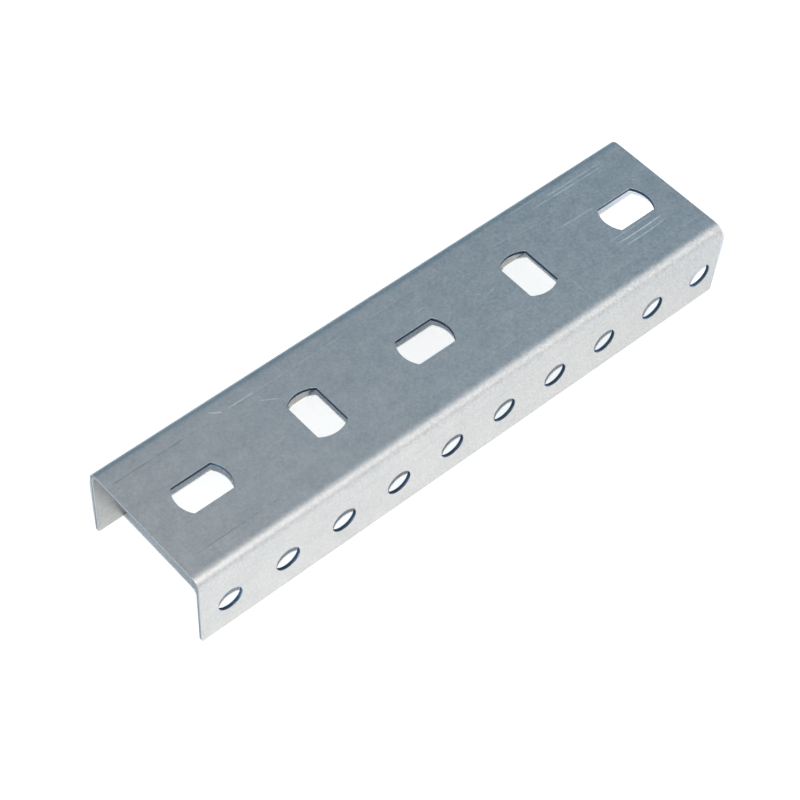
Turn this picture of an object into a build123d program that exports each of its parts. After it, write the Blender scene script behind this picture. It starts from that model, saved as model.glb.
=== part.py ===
from build123d import *
import os

# Perforated channel, one piece of zinc-coated steel strip. The strip is punched flat, with slots
# down its middle and a row of round holes near each edge, and is then folded into a channel.
# It lies web uppermost, on the free edges of its two flanges. X runs along the length, Y across
# the web and Z up, with the origin on the floor under the middle of the web. Millimetres.

# Strip and folded section
length = 246.6
web_width = 60.0
flange_height = 35.0
sheet_thickness = 1.5
inside_bend_radius = 2.5
free_edge_radius = 0.4
end_corner_radius = 1.0

# Round holes in the flanges, the first one measured from the end at -X
hole_pitch = 25.0
hole_diameter = 10.4
hole_height = 14.4
end_to_first_hole = 12.7
least_end_margin = 2.0

# Slots in the web, each centred between the holes below it, turned along and across by turns
holes_per_slot = 2
slot_length = 21.7
slot_width = 13.4
slot_corner_radius = 0.5

outside_bend_radius = inside_bend_radius + sheet_thickness
half_width = web_width / 2
first_hole = end_to_first_hole - length / 2
last_place = length / 2 - least_end_margin - hole_diameter / 2
hole_count = int((last_place - first_hole) // hole_pitch) + 1
hole_row = [first_hole + i * hole_pitch for i in range(hole_count)]

slot_pitch = holes_per_slot * hole_pitch
first_slot = first_hole + (holes_per_slot - 1) * hole_pitch / 2
slot_count = hole_count // holes_per_slot
slot_row = [first_slot + i * slot_pitch for i in range(slot_count)]
slots_along = [(x, 0) for x in slot_row[0::2]]
slots_across = [(x, 0) for x in slot_row[1::2]]

# Outline of one slot: a round punch with two flats, its corners slightly eased
with BuildSketch() as slot_outline:
    Circle(slot_length / 2)
    Rectangle(slot_length, slot_width, mode=Mode.INTERSECT)
    fillet(slot_outline.vertices(), radius=slot_corner_radius)

with BuildPart() as channel:
    # Folded section, drawn along its outer face and thickened inwards
    with BuildSketch(Plane.YZ):
        with BuildLine():
            FilletPolyline(
                (-half_width, 0),
                (-half_width, flange_height),
                (half_width, flange_height),
                (half_width, 0),
                radius=outside_bend_radius,
            )
            offset(amount=sheet_thickness, side=Side.RIGHT)
        make_face()
    extrude(amount=length / 2, both=True)

    # Free edges of the flanges, rounded by the slitting and the zinc
    free_faces = channel.faces().filter_by(Axis.Z).group_by(Axis.Z)[0]
    fillet(free_faces.edges().filter_by(Axis.X), radius=free_edge_radius)

    # Foot corners of the flanges at both ends, rounded where the strip was cut off
    with BuildSketch(Plane.XZ.offset(half_width)):
        with Locations((0, flange_height / 2)):
            side_view = Rectangle(length, flange_height)
        fillet(side_view.vertices().group_by(Axis.Z)[0], radius=end_corner_radius)
    extrude(amount=-web_width, mode=Mode.INTERSECT)

    # Slots down the middle of the web
    with BuildSketch(Plane.XY.offset(flange_height)):
        with Locations(*slots_along):
            add(slot_outline.sketch)
        with Locations(*slots_across):
            add(slot_outline.sketch, rotation=90)
    extrude(amount=-sheet_thickness, mode=Mode.SUBTRACT)

    # Round holes, in line across both flanges
    with BuildSketch(Plane.XZ.offset(half_width)):
        with Locations(*[(x, hole_height) for x in hole_row]):
            Circle(hole_diameter / 2)
    extrude(amount=-web_width, mode=Mode.SUBTRACT)

os.makedirs("parts", exist_ok=True)
channel.part.label = "channel_profile"
export_step(channel.part, "parts/channel_profile.step")
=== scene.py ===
"""Looks of a perforated zinc-coated steel channel, lying web uppermost on a pale floor.

Lengths are in metres, in the channel's own frame: X along it, Y across its web and Z up.
"""

import math

import bmesh
import bpy
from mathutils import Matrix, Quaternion, Vector


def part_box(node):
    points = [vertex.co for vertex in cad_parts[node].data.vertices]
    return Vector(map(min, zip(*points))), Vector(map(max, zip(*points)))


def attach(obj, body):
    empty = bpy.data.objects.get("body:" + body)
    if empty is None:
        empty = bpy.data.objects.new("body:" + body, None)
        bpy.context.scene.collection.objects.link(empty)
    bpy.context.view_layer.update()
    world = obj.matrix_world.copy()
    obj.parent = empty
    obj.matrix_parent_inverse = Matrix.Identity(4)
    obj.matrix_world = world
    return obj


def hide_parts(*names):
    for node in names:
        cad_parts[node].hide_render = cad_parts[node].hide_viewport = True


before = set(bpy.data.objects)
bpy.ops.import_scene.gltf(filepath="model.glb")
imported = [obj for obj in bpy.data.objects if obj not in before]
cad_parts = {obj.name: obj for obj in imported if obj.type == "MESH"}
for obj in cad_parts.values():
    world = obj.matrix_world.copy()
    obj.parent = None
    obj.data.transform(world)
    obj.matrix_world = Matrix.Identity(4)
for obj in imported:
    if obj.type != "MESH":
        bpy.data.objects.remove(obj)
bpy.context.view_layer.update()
mm = 0.001


# The strip
# One length of steel strip, zinc-coated in the coil. Its web and its two flanges are one sheet,
# folded along two long bends, which ease in and out of their 4 mm outside radius. Its foot
# corners and all its edges are slightly rounded.
box_low, box_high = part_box("channel_profile")
length, web_width, flange_height = box_high - box_low
sheet_thickness = 1.5 * mm
bend_reach = 5.0 * mm
bend_fullness = 0.587
bend_steps = 24
end_corner_radius = 1.0 * mm
end_corner_steps = 6
edge_radius = 0.2 * mm
edge_steps = 4
plain_arc = 0.5
sharp_fold = math.radians(60)
square_on = 0.99
near = 0.01 * mm


def only(piece):
    """Leaves one piece selected and active."""
    bpy.ops.object.select_all(action="DESELECT")
    piece.select_set(True)
    bpy.context.view_layer.objects.active = piece


def pick(piece, kind, chosen):
    """In edit mode, selects each FACE, EDGE or VERT that chosen says yes to."""
    bpy.ops.mesh.select_mode(type=kind)
    bpy.ops.mesh.select_all(action="DESELECT")
    mesh = bmesh.from_edit_mesh(piece.data)
    for element in {"FACE": mesh.faces, "EDGE": mesh.edges, "VERT": mesh.verts}[kind]:
        if chosen(element):
            element.select_set(True)
    bmesh.update_edit_mesh(piece.data)


def round_edges(piece, chosen, radius, steps, fullness=plain_arc):
    """In edit mode, rounds the edges that chosen says yes to. A fuller curve is squarer."""
    pick(piece, "EDGE", chosen)
    bpy.ops.mesh.bevel(offset=radius, segments=steps, profile=fullness, affect="EDGES")


def is_open_side(face):
    """True for the two ends and the underside of the box, which are open on the channel."""
    return abs(face.normal.x) > square_on or face.normal.z < -square_on


def is_top_edge(edge):
    """True for the two long edges where the web meets the flanges."""
    start, end = (corner.co for corner in edge.verts)
    lengthwise = abs(start.y - end.y) < near
    return lengthwise and min(start.z, end.z) > flange_height - near


def is_foot_corner(corner):
    """True for a flange's corner on the floor."""
    return corner.co.z < near


def is_outline(edge):
    """True for an edge between a broad side of the sheet and its cut edge."""
    return len(edge.link_faces) == 2 and edge.calc_face_angle(0) > sharp_fold


bpy.ops.object.select_all(action="DESELECT")
bpy.ops.mesh.primitive_cube_add(
    size=1,
    location=(box_low + box_high) / 2,
    scale=(length, web_width, flange_height),
)
channel = bpy.context.object
channel.name = "zinc_channel"
bpy.ops.object.transform_apply(location=True, rotation=True, scale=True)

# Only the web and the flanges stay of the box, and their two long edges become the bends
bpy.ops.object.mode_set(mode="EDIT")
pick(channel, "FACE", is_open_side)
bpy.ops.mesh.delete(type="FACE")
round_edges(channel, is_top_edge, bend_reach, bend_steps, bend_fullness)
pick(channel, "VERT", is_foot_corner)
bpy.ops.mesh.bevel(
    offset=end_corner_radius,
    segments=end_corner_steps,
    profile=plain_arc,
    affect="VERTICES",
)
bpy.ops.object.mode_set(mode="OBJECT")
wall = channel.modifiers.new("sheet", "SOLIDIFY")
wall.thickness = sheet_thickness
wall.offset = -1
wall.use_even_offset = True
bpy.ops.object.modifier_apply(modifier=wall.name)

bpy.ops.object.mode_set(mode="EDIT")
round_edges(channel, is_outline, edge_radius, edge_steps)
bpy.ops.object.mode_set(mode="OBJECT")


# The punching
# A row of round holes in each flange, and slots down the web that lie along and across it by
# turns. The punch came from outside, so the outer rims are drawn in and the inner ones stay crisp.
hole_pitch = 25 * mm
hole_radius = 5.2 * mm
hole_height = 14.4 * mm
hole_count = 10
end_to_first_hole = 12.7 * mm
holes_per_slot = 2
slot_length = 21.7 * mm
slot_width = 13.4 * mm
slot_corner_cut = 0.24 * mm
slot_corner_steps = 4
slot_corner_turn = math.radians(20)
punch_corners = 64
punch_reach = 12 * mm
drawn_rim_radius = 0.1 * mm
drawn_rim_steps = 3
burr_rim_radius = 0.06 * mm
burr_rim_steps = 2
edge_on = 0.01
smooth_up_to = math.radians(35)

first_hole = end_to_first_hole - length / 2
first_slot = first_hole + (holes_per_slot - 1) * hole_pitch / 2
slot_pitch = holes_per_slot * hole_pitch
slot_count = hole_count // holes_per_slot


def copy_to(piece, place, turned=0.0):
    """A copy of the piece with its own mesh, at a place and turned about Z."""
    copied = piece.copy()
    copied.data = piece.data.copy()
    bpy.context.scene.collection.objects.link(copied)
    copied.location = place
    copied.rotation_euler.z = turned
    return copied


def is_slot_corner(edge):
    """True for an upright edge where a flat of the slot meets an arc."""
    start, end = (corner.co for corner in edge.verts)
    upright = abs(start.x - end.x) < near and abs(start.y - end.y) < near
    return upright and edge.calc_face_angle(0) > slot_corner_turn


# The slot's punch is round, with two flats
bpy.ops.object.select_all(action="DESELECT")
bpy.ops.mesh.primitive_cylinder_add(
    vertices=punch_corners,
    radius=slot_length / 2,
    depth=punch_reach,
)
slot_punch = bpy.context.object
bpy.ops.object.mode_set(mode="EDIT")
for side in (-1, 1):
    bpy.ops.mesh.select_all(action="SELECT")
    bpy.ops.mesh.bisect(
        plane_co=(0, side * slot_width / 2, 0),
        plane_no=(0, side, 0),
        use_fill=True,
        clear_outer=True,
    )
bpy.ops.mesh.select_all(action="SELECT")
bpy.ops.mesh.normals_make_consistent(inside=False)
round_edges(slot_punch, is_slot_corner, slot_corner_cut, slot_corner_steps)
bpy.ops.object.mode_set(mode="OBJECT")

bpy.ops.object.select_all(action="DESELECT")
bpy.ops.mesh.primitive_cylinder_add(
    vertices=punch_corners,
    radius=hole_radius,
    depth=web_width + punch_reach,
    rotation=(math.pi / 2, 0, 0),
)
hole_punch = bpy.context.object
bpy.ops.object.transform_apply(rotation=True)

punches = []
for i in range(slot_count):
    place = (first_slot + i * slot_pitch, 0, flange_height)
    punches.append(copy_to(slot_punch, place, turned=math.pi / 2 * (i % 2)))
for i in range(hole_count):
    punches.append(copy_to(hole_punch, (first_hole + i * hole_pitch, 0, hole_height)))
bpy.data.objects.remove(slot_punch)
bpy.data.objects.remove(hole_punch)

only(punches[0])
for punch in punches:
    punch.select_set(True)
bpy.ops.object.join()
punches = bpy.context.object
bpy.ops.object.transform_apply(location=True, rotation=True, scale=True)

only(channel)
punched = channel.modifiers.new("punched", "BOOLEAN")
punched.operation = "DIFFERENCE"
punched.solver = "EXACT"
punched.object = punches
bpy.ops.object.modifier_apply(modifier=punched.name)
bpy.data.objects.remove(punches)


def is_wall(face):
    """True for a face that the punch sheared, inside the sheet's thickness."""
    middle = face.calc_center_median()
    in_web = abs(face.normal.z) < edge_on and abs(middle.y) < web_width / 4
    in_row = abs(middle.z - hole_height) < hole_radius + near
    in_flange = abs(face.normal.y) < edge_on and in_row
    return (in_web or in_flange) and abs(middle.x) < length / 2 - near


def is_cut_end(face):
    """True for a face of the two ends, where the channel was cut to length."""
    return abs(face.normal.x) > square_on and abs(face.calc_center_median().x) > length / 2 - near


def outwardness(face):
    """1 for the outer side of the sheet, -1 for its inner side and 0 for what stands across it."""
    middle = face.calc_center_median()
    if abs(face.normal.z) > square_on:
        return math.copysign(1, face.normal.z)
    if abs(face.normal.y) > square_on:
        return math.copysign(1, face.normal.y * middle.y)
    return 0


def is_rim(edge, side):
    """True for an edge between a sheared wall and the outer or inner side of the sheet."""
    if len(edge.link_faces) != 2:
        return False
    for wall_face, open_face in (edge.link_faces, reversed(edge.link_faces)):
        if is_wall(wall_face) and outwardness(open_face) == side:
            return True
    return False


bpy.ops.object.mode_set(mode="EDIT")
round_edges(channel, lambda edge: is_rim(edge, 1), drawn_rim_radius, drawn_rim_steps)
round_edges(channel, lambda edge: is_rim(edge, -1), burr_rim_radius, burr_rim_steps)
bpy.ops.object.mode_set(mode="OBJECT")

bpy.ops.object.shade_smooth_by_angle(angle=smooth_up_to)
flats_lead = channel.modifiers.new("flats_lead", "WEIGHTED_NORMAL")
flats_lead.keep_sharp = True
bpy.ops.object.modifier_apply(modifier=flats_lead.name)

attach(channel, "root")
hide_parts("channel_profile")


# The zinc coat
# Hot-dip zinc, skin-passed until it has no spangle: a satin grey metal with soft clouds, faint
# streaks along the strip and a fine grain, which handling has roughened towards +X. Folding left
# dark roll lines on it, and handling light scratches.
zinc_dark = (0.405, 0.415, 0.425, 1)
zinc_light = (0.600, 0.592, 0.582, 1)
scratch_colour = (0.92, 0.90, 0.88, 1)
roll_line_colour = (0.30, 0.31, 0.33, 1)

# How fine each pattern is, in features to the metre, and how far it sways the tone
zinc_grain = 900.0
grain_contrast = 2.1
handled_contrast = 1.2
handled_reach = 0.3 * length
cloud_scale = 55
cloud_contrast = 0.25
patch_scale = 190
patch_contrast = 0.5
streak_scale = 420
streak_stretch = (0.04, 1, 1)
streak_contrast = 0.22
break_scale = 260
break_below = 0.35
whole_above = 0.60

# Gloss and relief of the coat
zinc_roughness = 0.46
streak_gloss = 0.05
patch_gloss = 0.06
zinc_bump = 0.20
zinc_bump_depth = 0.03 * mm
streak_relief = 0.2
scratch_relief = -0.6

# Make-up of the grain, and of a scratch: how it thins out along its length and across its width,
# how near the skin it stays, and what it holds of its strength where it breaks
mottle_share = 0.6
speck_share = 0.4
speck_fineness = 3.1
scratch_full = 0.3
scratch_gone = 0.5
scratch_core = 0.2
scratch_skin = 0.5 * mm
scratch_held = 0.4


def feed(tree, socket, source):
    """Sets a socket to a value, or wires another node's output to it."""
    if isinstance(source, bpy.types.NodeSocket):
        tree.links.new(source, socket)
    else:
        socket.default_value = source


def calc(tree, operation, first, second=0.0, third=0.0):
    """The result of one Math node."""
    node = tree.nodes.new("ShaderNodeMath")
    node.operation = operation
    for socket, source in zip(node.inputs, (first, second, third)):
        feed(tree, socket, source)
    return node.outputs["Value"]


def vary(tree, base, pattern, amount):
    """A base value, swayed by an amount of a pattern that lies between 0 and 1."""
    return calc(tree, "MULTIPLY_ADD", calc(tree, "SUBTRACT", pattern, 0.5), amount, base)


def soft_step(tree, value, start, end):
    """0 before start, 1 past end, and smooth between them."""
    node = tree.nodes.new("ShaderNodeMapRange")
    node.interpolation_type = "SMOOTHSTEP"
    feed(tree, node.inputs["Value"], value)
    feed(tree, node.inputs["From Min"], start)
    feed(tree, node.inputs["From Max"], end)
    return node.outputs["Result"]


def blend(tree, amount, first, second, kind="MIX"):
    """A colour between two others, or for the kind ADD some of the second on the first."""
    node = tree.nodes.new("ShaderNodeMix")
    node.data_type = "RGBA"
    node.blend_type = kind
    feed(tree, node.inputs["Factor"], amount)
    feed(tree, node.inputs[6], first)
    feed(tree, node.inputs[7], second)
    return node.outputs[2]


def noise(tree, position, scale, detail=3.0, stretch=(1, 1, 1)):
    """Noise over a position in metres, its features about 1 / scale long."""
    fitted = tree.nodes.new("ShaderNodeMapping")
    fitted.inputs["Scale"].default_value = stretch
    feed(tree, fitted.inputs["Vector"], position)
    node = tree.nodes.new("ShaderNodeTexNoise")
    node.inputs["Scale"].default_value = scale
    node.inputs["Detail"].default_value = detail
    feed(tree, node.inputs["Vector"], fitted.outputs["Vector"])
    return node.outputs["Fac"]


def split(tree, position):
    """The X, Y and Z of a position."""
    node = tree.nodes.new("ShaderNodeSeparateXYZ")
    feed(tree, node.inputs["Vector"], position)
    return node.outputs


def bump(tree, height, strength, distance):
    """The normal of a surface with a fine relief on it."""
    node = tree.nodes.new("ShaderNodeBump")
    node.inputs["Strength"].default_value = strength
    node.inputs["Distance"].default_value = distance
    feed(tree, node.inputs["Height"], height)
    return node.outputs["Normal"]


def new_group(name, inputs, outputs):
    """An empty shader node group with its named sockets, and its two end nodes."""
    tree = bpy.data.node_groups.new(name, "ShaderNodeTree")
    for label, kind in inputs:
        tree.interface.new_socket(label, in_out="INPUT", socket_type=kind)
    for label in outputs:
        tree.interface.new_socket(label, in_out="OUTPUT", socket_type="NodeSocketFloat")
    return tree, tree.nodes.new("NodeGroupInput").outputs, tree.nodes.new("NodeGroupOutput").inputs


def place_group(tree, group, **sources):
    """One use of a node group in a material, with what its inputs are set to or wired from."""
    node = tree.nodes.new("ShaderNodeGroup")
    node.node_tree = group
    for label, source in sources.items():
        feed(tree, node.inputs[label], source)
    return node.outputs


def new_material(name):
    """A node material: its tree, its shader's inputs and the position on the piece."""
    material = bpy.data.materials.new(name)
    material.use_nodes = True
    tree = material.node_tree
    position = tree.nodes.new("ShaderNodeTexCoord").outputs["Object"]
    return material, tree, tree.nodes["Principled BSDF"].inputs, position


# Grain of worked metal: a fine mottle with specks in it, for the tone and for the bump
metal_grain, given, result = new_group(
    "metal grain",
    [("Position", "NodeSocketVector"), ("Fineness", "NodeSocketFloat")],
    ["Tone", "Height"],
)
mottle = metal_grain.nodes.new("ShaderNodeTexNoise")
mottle.inputs["Detail"].default_value = 3.0
mottle.inputs["Roughness"].default_value = 0.6
specks = metal_grain.nodes.new("ShaderNodeTexNoise")
specks.inputs["Detail"].default_value = 1.0
feed(metal_grain, mottle.inputs["Vector"], given["Position"])
feed(metal_grain, specks.inputs["Vector"], given["Position"])
feed(metal_grain, mottle.inputs["Scale"], given["Fineness"])
finer = calc(metal_grain, "MULTIPLY", given["Fineness"], speck_fineness)
feed(metal_grain, specks.inputs["Scale"], finer)
mottled = calc(metal_grain, "MULTIPLY", mottle.outputs["Fac"], mottle_share)
speckled = calc(metal_grain, "MULTIPLY_ADD", specks.outputs["Fac"], speck_share, mottled)
feed(metal_grain, result["Tone"], speckled)
feed(metal_grain, result["Height"], mottle.outputs["Fac"])

# One scratch: a thin bowed line on the skin of the metal, which thins out at its two ends
scratch, given, result = new_group(
    "scratch",
    [
        ("Position", "NodeSocketVector"),
        ("Length", "NodeSocketFloat"),
        ("Width", "NodeSocketFloat"),
        ("Bow", "NodeSocketFloat"),
    ],
    ["Mask"],
)
axes = split(scratch, given["Position"])
along = calc(scratch, "DIVIDE", calc(scratch, "ABSOLUTE", axes["X"]), given["Length"])
bowed = calc(scratch, "MULTIPLY", calc(scratch, "MULTIPLY", along, along), given["Bow"])
across = calc(scratch, "ABSOLUTE", calc(scratch, "SUBTRACT", axes["Y"], bowed))
ends = soft_step(scratch, along, scratch_gone, scratch_full)
line = soft_step(scratch, calc(scratch, "DIVIDE", across, given["Width"]), 1.0, scratch_core)
on_skin = calc(scratch, "LESS_THAN", calc(scratch, "ABSOLUTE", axes["Z"]), scratch_skin)
drawn = calc(scratch, "MULTIPLY", calc(scratch, "MULTIPLY", ends, line), on_skin)
feed(scratch, result["Mask"], drawn)


def scratches(tree, position, marks):
    """The masks of several scratches together, each from its place in mm and its strength."""
    total = None
    for place, turned, reach, width, bow, strength in marks:
        fitted = tree.nodes.new("ShaderNodeMapping")
        fitted.vector_type = "TEXTURE"
        fitted.inputs["Location"].default_value = Vector(place) * mm
        fitted.inputs["Rotation"].default_value = [math.radians(angle) for angle in turned]
        feed(tree, fitted.inputs["Vector"], position)
        drawn = place_group(
            tree,
            scratch,
            Position=fitted.outputs["Vector"],
            Length=reach * mm,
            Width=width * mm,
            Bow=bow * mm,
        )
        mask = calc(tree, "MULTIPLY", drawn["Mask"], strength)
        total = mask if total is None else calc(tree, "MAXIMUM", total, mask)
    return total


# Centre, turn, length, width, bow and strength of each mark, in mm and degrees
top = flange_height / mm
outer = web_width / 2 / mm
light_marks = [
    ((-65, 20.8, top), (0, 0, 0), 14, 0.38, 0, 0.62),
    ((-20, 20.6, top), (0, 0, 0), 110, 0.28, 0, 0.26),
    ((-75.5, 22.3, top), (0, 0, -35), 6, 0.45, 0.5, 0.65),
    ((-57, 14.6, top), (0, 0, -32), 9, 0.42, 0, 0.45),
    ((30, 5.6, top), (0, 0, -60), 7, 0.35, 2.0, 0.40),
    ((35.5, 2.2, top), (0, 0, 10), 4, 0.60, 0, 0.40),
    ((8, 11.9, top), (0, 0, 0), 12, 0.25, 0, 0.35),
    ((64, 16.2, top), (0, 0, -8), 34, 0.28, -1.0, 0.35),
    ((97, 23.3, top), (0, 0, 0), 34, 0.48, 0.4, 0.66),
    ((93, 21.6, top), (0, 0, -1), 42, 0.48, 0.4, 0.60),
    ((77, 25.6, top), (0, 0, 0), 26, 0.30, 0, 0.40),
    ((85, 8.4, top), (0, 0, -2), 20, 0.60, 0, 0.42),
    ((96, -8.1, top), (0, 0, 0), 26, 0.34, 0.8, 0.54),
    ((98.5, -10.8, top), (0, 0, 0), 27, 0.46, 1.2, 1.00),
    ((100, -13.2, top), (0, 0, 1), 23, 0.44, 1.4, 0.90),
    ((61.8, -16.5, top), (0, 0, 90), 20, 0.45, 0, 0.30),
    ((114.8, 8.8, top), (0, 0, -40), 3, 0.50, 0, 0.45),
    ((41, -12.3, top), (0, 0, 30), 3, 0.45, 0, 0.40),
    ((55, -19.7, top), (0, 0, 0), 180, 0.25, 0, 0.25),
]
roll_lines = [
    ((-106, 20.2, top), (0, 0, 0), 50, 0.42, 0, 0.75),
    ((-104, -19.9, top), (0, 0, 0), 60, 0.42, 0, 0.60),
    ((0, -outer, 25.3), (90, 0, 0), 260, 0.45, 0, 0.35),
    ((0, outer, 25.3), (-90, 0, 0), 260, 0.45, 0, 0.35),
    ((0, -outer, 1.6), (90, 0, 0), 260, 0.50, 0, 0.20),
]

zinc, tree, shader, position = new_material("zinc coat")
axes = split(tree, position)
grain = place_group(tree, metal_grain, Position=position, Fineness=zinc_grain)
clouds = noise(tree, position, cloud_scale, detail=4.0)
patches = noise(tree, position, patch_scale)
streaks = noise(tree, position, streak_scale, stretch=streak_stretch)
breaks = noise(tree, position, break_scale)
unbroken = soft_step(tree, breaks, break_below, whole_above)

handled = soft_step(tree, axes["X"], -handled_reach, handled_reach)
contrast = calc(tree, "MULTIPLY_ADD", handled, handled_contrast, grain_contrast)
tone = vary(tree, 0.5, grain["Tone"], contrast)
tone = vary(tree, tone, patches, patch_contrast)
tone = vary(tree, tone, clouds, cloud_contrast)
tone = vary(tree, tone, streaks, streak_contrast)

# Where the marks break, a roll line is gone and a scratch holds some of its strength
held = calc(tree, "MULTIPLY_ADD", unbroken, 1 - scratch_held, scratch_held)
scratched = calc(tree, "MULTIPLY", scratches(tree, position, light_marks), held)
rolled = calc(tree, "MULTIPLY", scratches(tree, position, roll_lines), unbroken)
coat = blend(tree, tone, zinc_dark, zinc_light)
coat = blend(tree, rolled, coat, roll_line_colour)
coat = blend(tree, scratched, coat, scratch_colour)
feed(tree, shader["Base Color"], coat)
shader["Metallic"].default_value = 1.0

rubbed = vary(tree, zinc_roughness, streaks, streak_gloss)
rubbed = vary(tree, rubbed, patches, patch_gloss)
feed(tree, shader["Roughness"], rubbed)
height = calc(tree, "MULTIPLY_ADD", streaks, streak_relief, grain["Height"])
height = calc(tree, "MULTIPLY_ADD", scratched, scratch_relief, height)
feed(tree, shader["Normal"], bump(tree, height, zinc_bump, zinc_bump_depth))
channel.data.materials.clear()
channel.data.materials.append(zinc)


# The sheared steel, painted dark with shade
# Where the strip was punched and cut, its bare steel shows between the two zinc coats: a band
# burnished by the punch next to the outer side, and torn, darker metal below it. Both bands are
# painted a dark navy blue, which is painted shade and a painted reflection of the dark blue inside
# of the channel. On the two ends the saw smeared some of the zinc over the steel.
# Both band colours hold painted shade: a dark navy blue in place of the grey of bare steel
burnished_painted_shade = (0.20, 0.31, 0.46, 1)
torn_painted_shade = (0.07, 0.13, 0.22, 1)
smeared = (0.31, 0.335, 0.365, 1)
burnished_depth = 0.55 * mm
ragged_reach = 0.7 * mm
ragged_scale = 900
torn_softness = 0.2 * mm
steel_grain = 2600.0
steel_contrast = 0.9
smear_start = length / 2 - 0.06 * mm
smear_end = length / 2 - 0.02 * mm
smear_loss = 0.4
burnished_roughness = 0.30
torn_roughness = 0.55
steel_bump = 0.5
steel_bump_depth = 0.04 * mm

# The border of the two bands wanders by up to half the ragged reach to either side
steel, tree, shader, position = new_material("sheared steel with painted shade")
axes = split(tree, position)
under_web = calc(tree, "SUBTRACT", flange_height, axes["Z"])
behind_flange = calc(tree, "SUBTRACT", web_width / 2, calc(tree, "ABSOLUTE", axes["Y"]))
depth = calc(tree, "MINIMUM", under_web, behind_flange)
ragged = calc(tree, "MULTIPLY_ADD", noise(tree, position, ragged_scale), ragged_reach, depth)
border = burnished_depth + ragged_reach / 2
below = soft_step(tree, ragged, border - torn_softness / 2, border + torn_softness / 2)

grain = place_group(tree, metal_grain, Position=position, Fineness=steel_grain)
wear = vary(tree, below, grain["Tone"], steel_contrast)
bare = blend(tree, wear, burnished_painted_shade, torn_painted_shade)
at_end = soft_step(tree, calc(tree, "ABSOLUTE", axes["X"]), smear_start, smear_end)
zinc_left = calc(tree, "MULTIPLY", at_end, calc(tree, "MULTIPLY_ADD", wear, -smear_loss, 1.0))
feed(tree, shader["Base Color"], blend(tree, zinc_left, bare, smeared))
shader["Metallic"].default_value = 1.0
roughened = torn_roughness - burnished_roughness
feed(tree, shader["Roughness"], calc(tree, "MULTIPLY_ADD", wear, roughened, burnished_roughness))
height = calc(tree, "MULTIPLY", grain["Height"], below)
feed(tree, shader["Normal"], bump(tree, height, steel_bump, steel_bump_depth))
channel.data.materials.append(steel)

only(channel)
bpy.ops.object.mode_set(mode="EDIT")
pick(channel, "FACE", lambda face: is_wall(face) or is_cut_end(face))
channel.active_material_index = 1
bpy.ops.object.material_slot_assign()
bpy.ops.object.mode_set(mode="OBJECT")


# The studio
# A pale paper floor that keeps the shadow, two small lamps in one place beside the camera, a dim
# room with a wide bright window in front, and the camera looking down on the channel.
floor_size = 6.0
paper_colour = (0.88, 0.88, 0.88, 1)
paper_roughness = 0.9
# A faint blue glow painted on the floor near the channel: painted light in its shadow
painted_glow_in_shade = (0.085, 0.105, 0.125, 1)
far_floor_glow = (1.3, 1.3, 1.3, 1)
glow_starts = 0.30
glow_full = 0.90
mirrored_glow = 0.4

bpy.ops.object.select_all(action="DESELECT")
bpy.ops.mesh.primitive_plane_add(size=floor_size)
floor = bpy.context.object
floor.name = "floor"
paper, tree, shader, position = new_material("paper")
shader["Base Color"].default_value = paper_colour
shader["Roughness"].default_value = paper_roughness
shader["Specular IOR Level"].default_value = 0.0

# To the eye the floor is white out to the backdrop, and metal mirrors part of that. Near the
# channel
# it glows a faint blue instead: painted light, which lightens and blues the shadow there
reach = tree.nodes.new("ShaderNodeVectorMath")
reach.operation = "LENGTH"
feed(tree, reach.inputs[0], position)
far_off = soft_step(tree, reach.outputs["Value"], glow_starts, glow_full)
ray = tree.nodes.new("ShaderNodeLightPath").outputs
mirrored = calc(tree, "MULTIPLY", ray["Is Glossy Ray"], mirrored_glow)
seen = calc(tree, "MAXIMUM", ray["Is Camera Ray"], mirrored)
seen = calc(tree, "MAXIMUM", seen, ray["Is Transmission Ray"])
feed(tree, shader["Emission Color"], blend(tree, far_off, painted_glow_in_shade, far_floor_glow))
feed(tree, shader["Emission Strength"], seen)
floor.data.materials.append(paper)

# The room, and each patch of light in it: where it comes from, the cosine at its rim, its colour
white = (1, 1, 1, 1)
room_front = (0.12, 0.15, 0.17, 1)
room_back = (0.055, 0.25, 0.40, 1)
room_turns = 0.3
window = ((0.50, -0.58, 0.64), 0.55, (1.63, 1.61, 1.60, 1))
skylight = ((-0.15, 0.45, 0.88), 0.80, (0.92, 0.60, 0.40, 1))
left_wall = ((-1, -0.1, 0.15), 0.50, (0.28, 0.31, 0.33, 1))
right_wall = ((0.88, 0.47, 0.03), 0.88, (0.60, 0.55, 0.48, 1))


def glow_from(tree, looking, direction, start, end=1.0):
    """How near the looking direction is to a given one, as a soft step of their cosine."""
    nearness = tree.nodes.new("ShaderNodeVectorMath")
    nearness.operation = "DOT_PRODUCT"
    nearness.inputs[1].default_value = Vector(direction).normalized()
    feed(tree, nearness.inputs[0], looking)
    return soft_step(tree, nearness.outputs["Value"], start, end)


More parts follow.
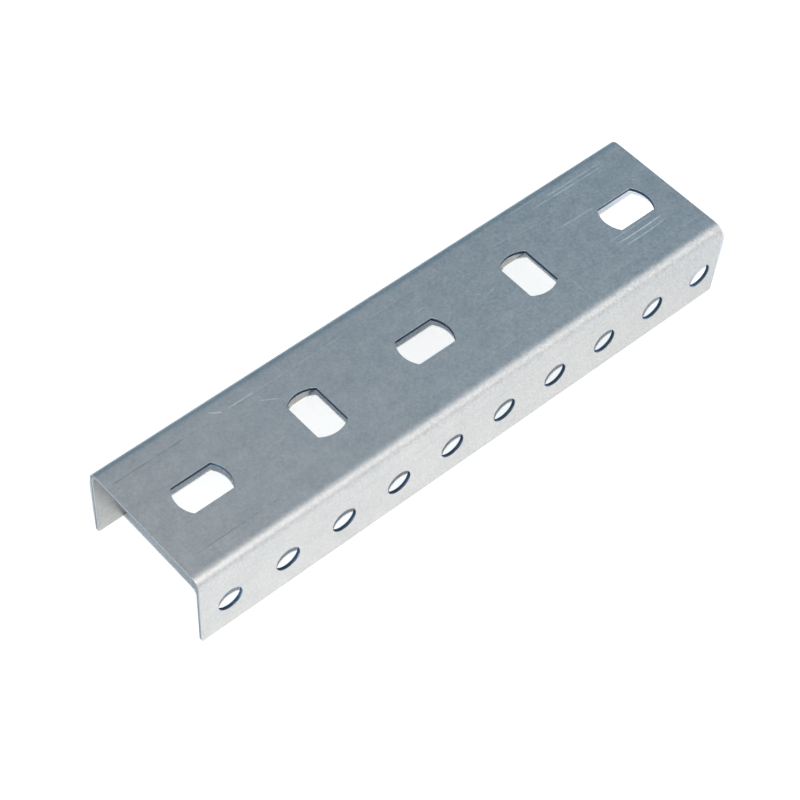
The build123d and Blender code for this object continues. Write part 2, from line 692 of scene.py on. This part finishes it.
world = bpy.data.worlds.new("studio")
bpy.context.scene.world = world
world.use_nodes = True
tree = world.node_tree
looking = tree.nodes.new("ShaderNodeTexCoord").outputs["Generated"]
behind = glow_from(tree, looking, (0, 1, 0), -room_turns, room_turns)
room = blend(tree, behind, room_front, room_back)
for direction, rim, colour in (window, skylight, left_wall, right_wall):
    room = blend(tree, glow_from(tree, looking, direction, rim), room, colour, kind="ADD")
ray = tree.nodes.new("ShaderNodeLightPath").outputs
room = blend(tree, ray["Is Camera Ray"], room, white)
feed(tree, tree.nodes["Background"].inputs["Color"], room)

lamp_place = Vector((-0.314, -0.307, 0.62))
lamp_aim = Vector((1.2, 0.4, 0))
lamp_size = 0.012
key_power = 4.6
key_colour = (1, 0.935, 0.845)
floor_power = 2.9
floor_colour = (0.93, 1.0, 1.07)


def lamp(name, power, colour):
    """A square lamp beside the camera, turned past the channel so that its light stays even."""
    light = bpy.data.lights.new(name, "AREA")
    light.shape = "SQUARE"
    light.size = lamp_size
    light.energy = power
    light.color = colour
    holder = bpy.data.objects.new(name, light)
    holder.location = lamp_place
    holder.rotation_euler = (lamp_aim - lamp_place).to_track_quat("-Z", "Y").to_euler()
    bpy.context.scene.collection.objects.link(holder)
    return holder


lamp("key", key_power, key_colour)

# The second lamp is for the floor alone, which stays white round a sharp shadow
floor_only = bpy.data.collections.new("floor only")
floor_only.objects.link(floor)
floor_lamp = lamp("floor lamp", floor_power, floor_colour)
floor_lamp.light_linking.receiver_collection = floor_only

camera_place = Vector((-0.35873, -0.36620, 0.66264))
camera_aim = Vector((-0.019815, -0.011465, 0.03))
camera_roll = math.radians(3.2733)
camera_lens = 102.93
camera_sensor = 36
eye = bpy.data.cameras.new("eye")
eye.lens = camera_lens
eye.sensor_width = camera_sensor
camera = bpy.data.objects.new("camera", eye)
camera.location = camera_place
camera.rotation_mode = "QUATERNION"
level = (camera_aim - camera_place).to_track_quat("-Z", "Y")
camera.rotation_quaternion = level @ Quaternion((0, 0, 1), camera_roll)
bpy.context.scene.collection.objects.link(camera)
bpy.context.scene.camera = camera
bpy.context.scene.view_settings.view_transform = "Standard"
